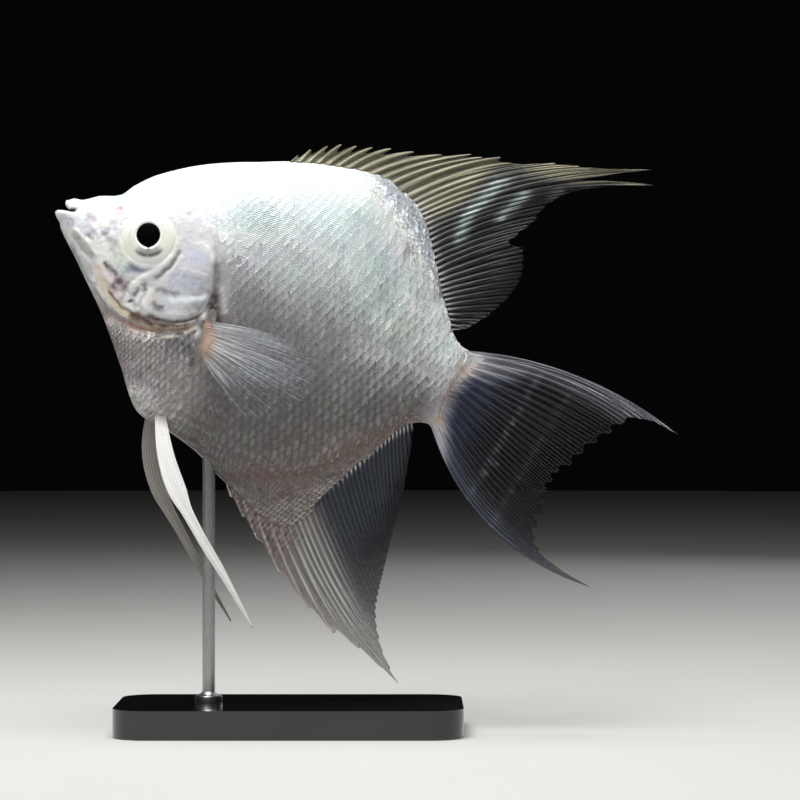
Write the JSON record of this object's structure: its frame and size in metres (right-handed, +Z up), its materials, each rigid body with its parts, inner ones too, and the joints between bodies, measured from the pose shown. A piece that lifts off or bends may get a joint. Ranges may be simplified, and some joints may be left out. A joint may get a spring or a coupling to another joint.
{
  "type": "freshwater angelfish model on a display stand",
  "caption": "Tall, flat silver fish with swept dorsal and anal fins, a forked tail and trailing pelvic fins, held nose up on a rod over a flat base.",
  "frame": {"origin": "middle of the stand base's underside", "axes": "+Z up, +X towards the fish's tail along the base's length, +Y towards the fish's right side; the fish faces -X with its nose raised 24 degrees"},
  "size_m": [0.1083, 0.034, 0.102],
  "materials": {
    "scales": "silver-white scaled skin, wet sheen",
    "gill_plate": "smooth pearly gill plates",
    "eye": "clear polished eye over a cream iris and a black pupil",
    "fin_web": "smoky thin web between pale rays",
    "stand_base": "black, satin polished",
    "stand_rod": "brushed along its length"
  },
  "bodies": {
    "root": {"head": "scales", "upper_jaw": "scales", "lower_jaw": "scales", "gill_cover_left": "gill_plate", "gill_cover_right": "gill_plate", "trunk": "scales", "tail_base": "scales", "eye_left": "eye", "eye_right": "eye", "dorsal_fin": "fin_web", "anal_fin": "fin_web", "tail_fin": "fin_web", "pectoral_fin_left": "fin_web", "pectoral_fin_right": "fin_web", "pelvic_fin_left": "fin_web", "pelvic_fin_right": "fin_web", "stand_base": "stand_base", "stand_rod": "stand_rod"}
  },
  "joints": []
}
